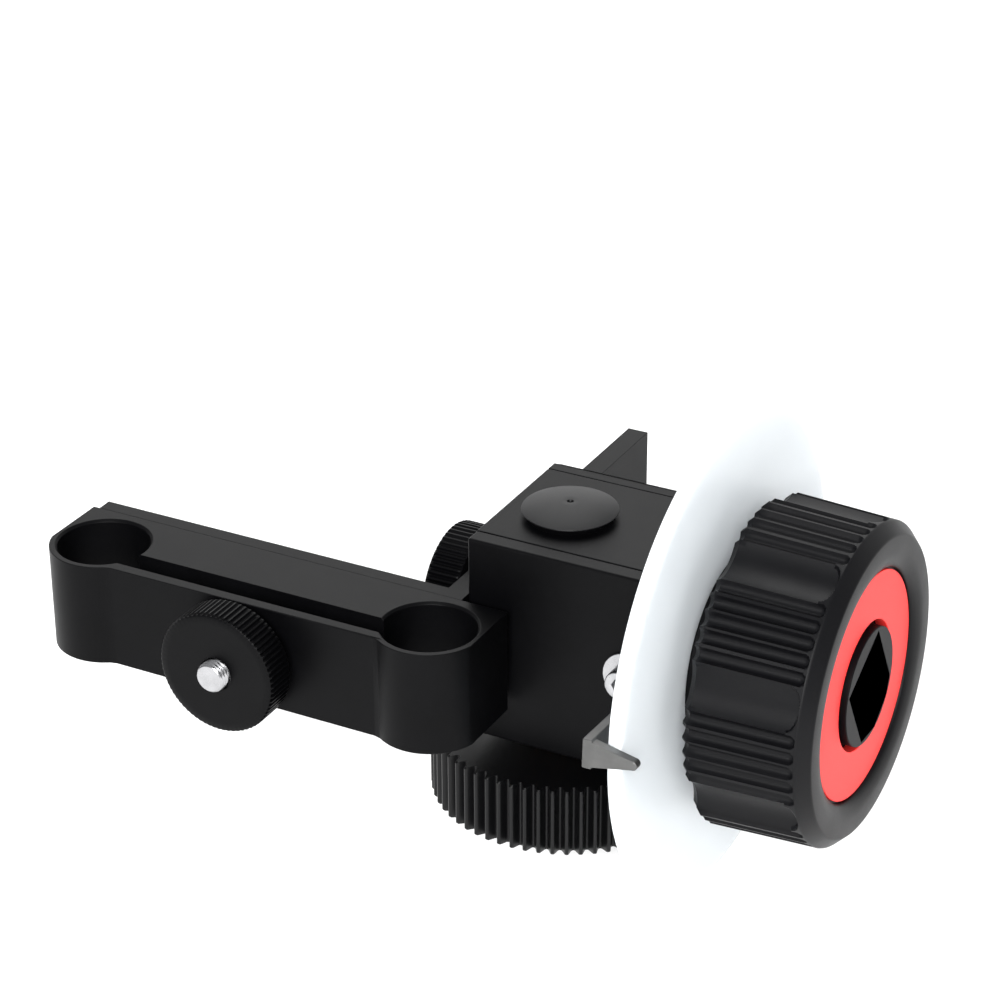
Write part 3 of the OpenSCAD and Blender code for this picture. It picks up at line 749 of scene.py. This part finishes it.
class CLAMP_OT_nut(bpy.types.Operator):
    """Knurled clamp nut, its washer and the threaded stud"""

    bl_idname = "follow_focus.clamp_nut"
    bl_label = "Clamp nut"

    def execute(self, context):
        knurl = context.scene.follow_focus_knurls
        centre = middle("clamp_nut")
        front, back = NUT_LOW.y, NUT_HIGH.y
        radius = (NUT_HIGH.x - NUT_LOW.x) / 2
        hub, hub_height, bore, rim = 5.5 * MM, 1 * MM, 2.54 * MM, 1.6 * MM
        bore_edge, hub_root, hub_edge = 0.3 * MM, 0.2 * MM, 0.1 * MM
        face = back - hub_height
        rows = [(front, bore + bore_edge), (front, radius - rim)]
        rows += knurled_side(front, face, radius)
        rows += [
            (face, hub + hub_root), (face + hub_root, hub), (back - hub_edge, hub),
            (back, hub - hub_edge), (back, bore), (front + bore_edge, bore),
        ]
        piece = turned(
            "clamp_nut_knurled", "Y", centre, rows, "knob_black", count=knurl.nut_ribs, steps=8,
            ripple=lambda share, weight: weight * rib(share, knurl.rib_depth),
        )
        finished(smooth(piece, 38), "clamp_nut_body", "knob_black", "clamp_nut")
        finished(softened("clamp_nut_washer", "clamp_washer", 0.08 * MM), "clamp_nut_body",
                 "bright_steel", "clamp_washer")
        threaded("clamp_stud_thread", "clamp_stud", "Y", knurl.thread_pitch, depth=0.3 * MM,
                 chamfer=0.35 * MM, slot="bright_steel", body="clamp_frame")
        return {"FINISHED"}


class HEAD_OT_housing(bpy.types.Operator):
    """Gear case, its two covers, the dome cap, the screws and the guide key"""

    bl_idname = "follow_focus.housing"
    bl_label = "Gear housing"

    def execute(self, context):
        for name, node, width, slot in (
            ("gear_housing", "gear_case", 0.28 * MM, "black_alloy"),
            ("housing_front", "front_cover", 0.42 * MM, "black_alloy"),
            ("housing_rear", "rear_cover", 0.18 * MM, "black_alloy"),
            ("key_in_slot", "guide_key", 0.15 * MM, "bright_steel"),
            ("screw_washer", "cover_washer", 0.1 * MM, "bright_steel"),
            ("pointer_washer", "pointer_spring", 0.1 * MM, "bright_steel"),
            ("pointer_ring", "pointer_clip", 0.1 * MM, "dark_steel"),
            ("long_bush", "shaft_bush", 0.12 * MM, "bronze"),
            ("floor_bush", "lower_bush", 0.12 * MM, "bronze"),
        ):
            finished(softened(name, node, width), "gear_head", slot, node)
        self.dome()
        low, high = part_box("cover_screw")
        head, height = 2.4 * MM, 3 * MM
        place = (high.x - head, low.y + height, (low.z + high.z) / 2)
        screws("housing_screw", "cover_screw", [place], (0, -1, 0), "gear_head", "bright_steel",
               length=high.y - low.y - height, shank=1.5 * MM, head=head, height=height)
        head = 1.9 * MM
        low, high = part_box("rear_cover_screws")
        corners = [(x, high.y, z) for x in (low.x + head, high.x - head)
                   for z in (low.z + head, high.z - head)]
        screws("rear_screws", "rear_cover_screws", corners, (0, 1, 0), "gear_head", "dark_steel",
               length=high.y - low.y, shank=1 * MM, head=head)
        low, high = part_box("key_screws")
        ends = [(low.x, y, (low.z + high.z) / 2) for y in (low.y + head, high.y - head)]
        screws("slot_key_screws", "key_screws", ends, (-1, 0, 0), "gear_head", "dark_steel",
               length=high.x - low.x, shank=1 * MM, head=head)
        return {"FINISHED"}

    def dome(self):
        """A low dome on an undercut rim, with a pin mark at its top"""
        low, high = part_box("dome_cap")
        centre = (low + high) / 2
        radius = (high.x - low.x) / 2
        rim = (high.z - low.z) * 0.5
        rise = high.z - low.z - rim
        ball = (radius ** 2 + rise ** 2) / (2 * rise)
        undercut, edge = 0.8 * MM, 0.1 * MM
        pin, pin_edge, pin_depth = 0.55 * MM, 0.6 * MM, 0.4 * MM
        rows = [(low.z, 0), (low.z, radius - undercut), (low.z + rim - edge, radius),
                (low.z + rim, radius - edge * 0.4)]
        rings = 13
        for i in range(1, rings):
            r = radius * (1 - i / rings) + pin_edge * i / rings
            rows.append((high.z - ball + math.sqrt(ball ** 2 - r ** 2), r))
        rows += [(high.z - edge, pin), (high.z - pin_depth, pin * 0.7),
                 (high.z - pin_depth * 1.05, 0)]
        piece = turned("drive_cap", "Z", centre, rows, "cap_black", count=16, steps=6,
                       closed=False)
        finished(smooth(piece, 25), "gear_head", "cap_black", "dome_cap")


class HEAD_OT_lock_knob(bpy.types.Operator):
    """Knurled knob that locks the gear head on the arm"""

    bl_idname = "follow_focus.lock_knob"
    bl_label = "Lock knob"

    def execute(self, context):
        knurl = context.scene.follow_focus_knurls
        centre = middle("lock_knob")
        left, right = KNOB_LOW.x, KNOB_HIGH.x
        radius = (KNOB_HIGH.z - KNOB_LOW.z) / 2
        stud = 2.5 * MM
        rows = [(left, 0), (left, radius * 0.4)] + knurled_side(left, right, radius)
        rows.append((right, stud))
        piece = turned(
            "lock_knob_knurled", "X", centre, rows, "knob_black", count=knurl.knob_ribs, steps=8,
            ripple=lambda share, weight: weight * rib(share, knurl.rib_depth), closed=False,
        )
        finished(smooth(piece, 38), "lock_knob_body", "knob_black", "lock_knob")
        finished(softened("lock_knob_washer", "lock_washer", 0.1 * MM), "lock_knob_body",
                 "bright_steel", "lock_washer")
        threaded("lock_stud_thread", "lock_stud", "X", knurl.thread_pitch, depth=0.42 * MM,
                 chamfer=0.6 * MM, slot="bright_steel", body="lock_knob_body")
        return {"FINISHED"}


class WHEEL_OT_pointer(bpy.types.Operator):
    """Pointer that swings round the wheel's axis and reads on the disc's rim"""

    bl_idname = "follow_focus.pointer"
    bl_label = "Pointer"

    def execute(self, context):
        finished(softened("rim_pointer", "pointer", 0.18 * MM), "pointer_body",
                 "pointer_alloy", "pointer")
        return {"FINISHED"}


class WHEEL_OT_disc(bpy.types.Operator):
    """White marking disc and the hub between it and the wheel"""

    bl_idname = "follow_focus.disc"
    bl_label = "Marking disc"

    def execute(self, context):
        centre = middle("marking_disc")
        back, front = DISC_LOW.x, DISC_HIGH.x
        radius = (DISC_HIGH.z - DISC_LOW.z) / 2
        bore, edge = 4 * MM, 0.55 * MM
        rows = [(back, bore), (back, radius - edge * 2)]
        rows += arc(back + edge, radius - edge, edge, 180, 90, 5)
        rows += arc(front - edge, radius - edge, edge, 90, 0, 5)
        rows += [(front, radius - edge * 2), (front, radius * 0.6), (front, bore)]
        piece = turned("writing_disc", "X", centre, rows, "disc_white", count=24, steps=8)
        finished(smooth(piece, 40), "wheel", "disc_white", "marking_disc")
        finished(softened("wheel_hub", "disc_hub", 0.3 * MM), "wheel", "black_alloy", "disc_hub")
        return {"FINISHED"}


# The rounded lip that falls from the wheel's face to the red ring, in mm: (depth below the
# face, distance outside the ring)
LIP = ((0.0, 3.1), (0.05, 2.5), (0.2, 1.9), (0.45, 1.25), (0.75, 0.7), (1.05, 0.42),
       (1.3, 0.36), (1.8, 0.34))


class WHEEL_OT_grip(bpy.types.Operator):
    """Rubber grip with wide flutes and fine grooves that stop short of its chamfered front"""

    bl_idname = "follow_focus.grip"
    bl_label = "Grip"

    def rows(self, size):
        """The half section; a third value says how far a row lies past the flutes' end"""
        back, front = GRIP_LOW.x, GRIP_HIGH.x
        back_radius = (GRIP_HIGH.z - GRIP_LOW.z) / 2
        front_radius = back_radius - size.taper
        ring_radius = (RING_HIGH.z - RING_LOW.z) / 2
        inner = back_radius - 4 * MM
        stop = front - size.plain_band
        edge = front - size.shoulder
        nose = front_radius - size.shoulder
        soft, chamfer = 0.22 * MM, 1 * MM
        seat = front - LIP[-1][0] * MM

        def skin(s):
            """Radius of the outside without flutes"""
            if s < back + chamfer:
                return back_radius - chamfer + (s - back)
            return back_radius - size.taper * (s - back - chamfer) / (edge - back - chamfer)

        coarse, fine = 1.26 * MM, 0.1 * MM
        places = [back + chamfer * i / 4 for i in range(4)]
        places += [back + chamfer + coarse * i for i in range(13)]
        places += [stop - fine * i for i in range(17)]
        places = sorted(set(round(p, 7) for p in places))
        found = [(back, inner)]
        found += [(s, skin(s), s - stop) for s in places]
        found += [
            (edge - soft, skin(edge - soft)), (edge, skin(edge) - soft * 0.25),
            (edge + soft, front_radius - soft), (front - soft, nose + soft),
            (front - soft * 0.28, nose + soft * 0.28), (front, nose - soft),
        ]
        found += [(front - depth * MM, ring_radius + beyond * MM) for depth, beyond in LIP]
        found += [(seat, ring_radius), (RING_LOW.x, ring_radius), (RING_LOW.x, inner)]
        return found

    def execute(self, context):
        size = context.scene.follow_focus_grip
        slice_angle = 2 * math.pi / size.flutes
        radius = (GRIP_HIGH.z - GRIP_LOW.z) / 2
        sagitta = radius - math.sqrt(radius ** 2 - size.flute_half ** 2)
        deep = size.flute_depth - sagitta
        round_radius = (size.flute_half ** 2 + deep ** 2) / (2 * deep)
        away = radius - size.flute_depth + round_radius
        half = size.groove_width / 2
        lip, corner_radius, end_slope = 0.12 * MM, 1.6 * MM, 3.5

        def hollow(share, past):
            """Depth of the flute or of the fine groove here; each ends in a wall of its own"""
            angle = (share - 0.5) * slice_angle
            flute = 0.0
            off = away * math.sin(angle)
            if abs(off) < round_radius:
                reach = away * math.cos(angle) - math.sqrt(round_radius ** 2 - off ** 2)
                flute = max(0.0, radius - reach)
            flute = max(0.0, flute - lip * math.exp(-flute / lip))
            across = min(1.0, abs(off) / size.flute_half)
            corner = corner_radius * (1 - math.sqrt(1 - across ** 2))
            flute = min(flute, max(0.0, -past - corner) * end_slope)
            fine = 0.0
            side = angle - math.copysign(slice_angle / 2, angle)
            beyond = max(0.0, past / (half * radius) + 1)
            for k in range(size.grooves):
                place = (k - (size.grooves - 1) / 2) * size.groove_step
                near = ((side - place) / half) ** 2 + beyond ** 2
                if near < 1:
                    fine = max(fine, size.groove_depth * math.sqrt(1 - near))
            return max(flute, fine)

        piece = turned(
            "fluted_grip", "X", WHEEL_AXIS, self.rows(size), "grip_rubber", count=size.flutes,
            steps=120, ripple=hollow, start=size.flute_turn - slice_angle / 2,
        )
        finished(smooth(piece, 42), "wheel", "grip_rubber", "wheel_grip")
        return {"FINISHED"}


class WHEEL_OT_face(bpy.types.Operator):
    """Red ring and the square socket in the wheel's face"""

    bl_idname = "follow_focus.wheel_face"
    bl_label = "Wheel face"

    def execute(self, context):
        for name, node, width, slot in (
            ("red_face_ring", "face_ring", 0.15 * MM, "ring_red"),
            ("square_socket", "crank_socket", 0.2 * MM, "socket_black"),
            ("wheel_body", "wheel_core", 0.15 * MM, "black_alloy"),
        ):
            finished(softened(name, node, width), "wheel", slot, node)
        low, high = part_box("wheel_screw")
        height = 2.2 * MM
        place = (high.x - height, (low.y + high.y) / 2, (low.z + high.z) / 2)
        screws("socket_screw", "wheel_screw", [place], (1, 0, 0), "wheel", "dark_steel",
               length=high.x - low.x - height, shank=2 * MM, head=3.8 * MM, height=height)
        return {"FINISHED"}


# Half a tooth of the drive gear: (share of the way from its crest's middle to the root's middle,
# share of the tooth's depth)
TOOTH = ((0.0, 0), (0.17, 0), (0.24, 0.07), (0.34, 0.24), (0.44, 0.42), (0.5, 0.52),
         (0.6, 0.7), (0.7, 0.87), (0.82, 0.98), (1.0, 1.0))


class DRIVE_OT_gear(bpy.types.Operator):
    """Drive gear with its washer and screw"""

    bl_idname = "follow_focus.drive_gear"
    bl_label = "Drive gear"

    def execute(self, context):
        size = context.scene.follow_focus_gear
        bottom, top = GEAR_LOW.z, GEAR_HIGH.z
        pitch_radius = size.teeth * size.module / 2
        tip = pitch_radius + size.module
        depth = 2.25 * size.module
        bore, recess, recess_depth = 4 * MM, 8.5 * MM, 4 * MM
        edge, recess_edge, rim, faded = 0.25 * MM, 0.15 * MM, 0.8 * MM, 0.86

        def tooth(share, weight):
            """Depth below the tip: a flat crest, a curved flank and a round root"""
            off = abs(share - 0.5) * 2
            for (a, low), (b, high) in zip(TOOTH, TOOTH[1:]):
                if off <= b:
                    return weight * depth * (low + (high - low) * (off - a) / (b - a))
            return weight * depth

        floor = bottom + recess_depth
        rows = [
            (floor, bore), (floor, recess - recess_edge),
            (floor - recess_edge, recess), (bottom + recess_edge, recess),
            (bottom, recess + recess_edge), (bottom, tip - depth - rim),
            (bottom, tip - edge, faded), (bottom + edge, tip, 1), (bottom + edge * 3, tip, 1),
            (top - edge * 3, tip, 1), (top - edge, tip, 1), (top, tip - edge, faded),
            (top, tip - depth - rim), (top, bore),
        ]
        slice_angle = 2 * math.pi / size.teeth
        piece = turned(
            "toothed_drive_gear", "Z", GEAR_AXIS, rows, "gear_black", count=size.teeth, steps=18,
            ripple=tooth, start=-slice_angle / 2,
        )
        finished(smooth(piece, 34), "drive", "gear_black", "drive_gear")
        for name, node, width, slot in (
            ("drive_spacer", "gear_spacer", 0.08 * MM, "bright_steel"),
            ("drive_washer", "gear_washer", 0.1 * MM, "bright_steel"),
        ):
            finished(softened(name, node, width), "drive", slot, node)
        low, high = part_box("gear_screw")
        height = 2.6 * MM
        place = ((low.x + high.x) / 2, (low.y + high.y) / 2, low.z + height)
        screws("drive_screw", "gear_screw", [place], (0, 0, -1), "drive", "dark_steel",
               length=high.z - low.z - height, shank=2 * MM, head=3.5 * MM, height=height)
        return {"FINISHED"}


class FOCUS_OT_inner(bpy.types.Operator):
    """Finishes for the solids that keep their own shape"""

    bl_idname = "follow_focus.inner_parts"
    bl_label = "Inner parts"

    def execute(self, context):
        slots = {part["node"]: part["material_slot"] for part in frame["record"]["subparts"]}
        for node, solid in frame["nodes"].items():
            if solid.hide_render:
                continue
            if not solid.material_slots:
                raise RuntimeError("a solid came without a material slot: " + node)
            for slot in solid.material_slots:
                slot.material = FINISHES[slots[node]]
        return {"FINISHED"}


class STAGE_OT_studio(bpy.types.Operator):
    """Pale floor that glows like a light table, soft lights and the camera"""

    bl_idname = "follow_focus.studio"
    bl_label = "Studio"

    def execute(self, context):
        scene = context.scene
        gap = 0.2 * MM
        self.floor(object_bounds()[0].z - gap)
        self.lights(scene)
        self.camera(scene)
        return {"FINISHED"}

    def floor(self, level):
        """A wide floor that bends up into a wall behind the unit; sizes in metres"""
        back, wall, bend, far, steps = 3.0, 3.0, 1.2, 40.0, 12
        section = [(-far, level)]
        for i in range(steps + 1):
            a = math.radians(90 * i / steps)
            section.append((back - bend + bend * math.sin(a), level + bend * (1 - math.cos(a))))
        section.append((back, level + wall))
        points = [(x, y, z) for y, z in section for x in (-far, far)]
        faces = [(i, i + 1, i + 3, i + 2) for i in range(0, len(points) - 2, 2)]
        floor = new_piece("studio_floor", points, faces)
        smooth(floor, 60)
        finish = Finish("studio_paper")
        cloud = finish.noise(scale=0.004, detail=2.0)
        floor.data.materials.append(finish.shade(
            Base_Color=finish.mix(cloud, (0.49, 0.49, 0.49), (0.51, 0.51, 0.51)),
            Roughness=0.9, Specular_IOR_Level=0.1,
            Emission_Color=(1, 1, 1, 1), Emission_Strength=0.55,
        ))
        floor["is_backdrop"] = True

    def lights(self, scene):
        """Square lamps, in metres and watts; the fill shows in no reflection"""
        head, wheel, near_camera = (0, 0.02, 0), (0.04, 0.02, 0), (0.282, -0.883, 0.54)
        for name, place, aim, size, power, glossy in (
            ("top_light", (-0.25, 0.45, 0.85), head, 0.6, 4.0, True),
            ("key_light", near_camera, wheel, 0.6, 15.0, True),
            ("fill_light", near_camera, wheel, 0.6, 23.0, False),
            ("back_light", (-0.6, 1.05, 0.62), head, 0.9, 3.0, True),
        ):
            light = bpy.data.lights.new(name, "AREA")
            light.shape = "SQUARE"
            light.size = size
            light.energy = power
            lamp = bpy.data.objects.new(name, light)
            scene.collection.objects.link(lamp)
            lamp.visible_glossy = glossy
            lamp.location = place
            lamp.rotation_mode = "QUATERNION"
            lamp.rotation_quaternion = (Vector(aim) - Vector(place)).to_track_quat("-Z", "Y")
        world = bpy.data.worlds.new("studio_world")
        world.use_nodes = True
        sky = world.node_tree.nodes["Background"].inputs
        sky["Color"].default_value = (0.97, 0.98, 1, 1)
        sky["Strength"].default_value = 0.45
        scene.world = world
        scene.view_settings.view_transform = "Standard"

    def camera(self, scene):
        """The photograph's view: its angles, its distance and its long lens. The anchor, in the
        middle of the near bore's rim, stands at (seen_across, seen_down) in the picture, and the
        line of sight at (0.5, sight_down); both are shares of its side, as the focal length is."""
        azimuth, elevation, roll = (math.radians(a) for a in (28.051, 27.134, -0.25))
        distance, focal = 464.55 * MM, 3.0409
        seen_across, seen_down, sight_down = 0.42929, 0.62644, 0.49857
        anchor = Vector((0, 0, 8.75 * MM))
        sensor = 36
        forward = Vector((-math.sin(azimuth) * math.cos(elevation),
                          math.cos(azimuth) * math.cos(elevation), -math.sin(elevation)))
        flat_right = Vector((math.cos(azimuth), math.sin(azimuth), 0))
        flat_up = flat_right.cross(forward)
        right = math.cos(roll) * flat_right + math.sin(roll) * flat_up
        up = math.cos(roll) * flat_up - math.sin(roll) * flat_right
        across = (seen_across - 0.5) / focal * distance
        below = (seen_down - sight_down) / focal * distance
        place = anchor - across * right + below * up - distance * forward
        data = bpy.data.cameras.new("photo_camera")
        data.sensor_width = sensor
        data.lens = sensor * focal
        data.shift_y = -0.0014
        data.clip_start, data.clip_end = 0.02, 20
        camera = bpy.data.objects.new("photo_camera", data)
        scene.collection.objects.link(camera)
        camera.matrix_world = Matrix.Translation(place) @ Matrix(
            (right, up, -forward)
        ).transposed().to_4x4()
        scene.camera = camera


PIECES = (
    CLAMP_OT_block, CLAMP_OT_nut, HEAD_OT_housing, HEAD_OT_lock_knob, WHEEL_OT_pointer,
    WHEEL_OT_disc, WHEEL_OT_grip, WHEEL_OT_face, DRIVE_OT_gear, FOCUS_OT_inner, STAGE_OT_studio,
)
SETTINGS = {
    "follow_focus_grip": GripSettings, "follow_focus_knurls": KnurlSettings,
    "follow_focus_gear": GearSettings, "follow_focus_finishes": FinishSettings,
}


class VIEW3D_PT_follow_focus(bpy.types.Panel):
    """Lists the unit's sizes, colours and pieces"""

    bl_label = "Follow focus"
    bl_space_type = "VIEW_3D"
    bl_region_type = "UI"
    bl_category = "Follow focus"

    def draw(self, context):
        for group in SETTINGS:
            box = self.layout.box()
            settings = getattr(context.scene, group)
            for name in settings.bl_rna.properties.keys():
                if name not in ("rna_type", "name"):
                    box.prop(settings, name)
        for piece in PIECES:
            self.layout.operator(piece.bl_idname)


CLASSES = (*SETTINGS.values(), *PIECES, VIEW3D_PT_follow_focus)


def register():
    for kind in CLASSES:
        bpy.utils.register_class(kind)
    for group, kind in SETTINGS.items():
        setattr(bpy.types.Scene, group, bpy.props.PointerProperty(type=kind))


def unregister():
    for group in SETTINGS:
        delattr(bpy.types.Scene, group)
    for kind in reversed(CLASSES):
        bpy.utils.unregister_class(kind)


def main():
    register()
    make_finishes(bpy.context.scene.follow_focus_finishes)
    ops = bpy.ops.follow_focus
    ops.clamp_block()
    ops.clamp_nut()
    ops.housing()
    ops.lock_knob()
    ops.pointer()
    ops.disc()
    ops.grip()
    ops.wheel_face()
    ops.drive_gear()
    ops.inner_parts()
    ops.studio()


if __name__ == "__main__":
    main()
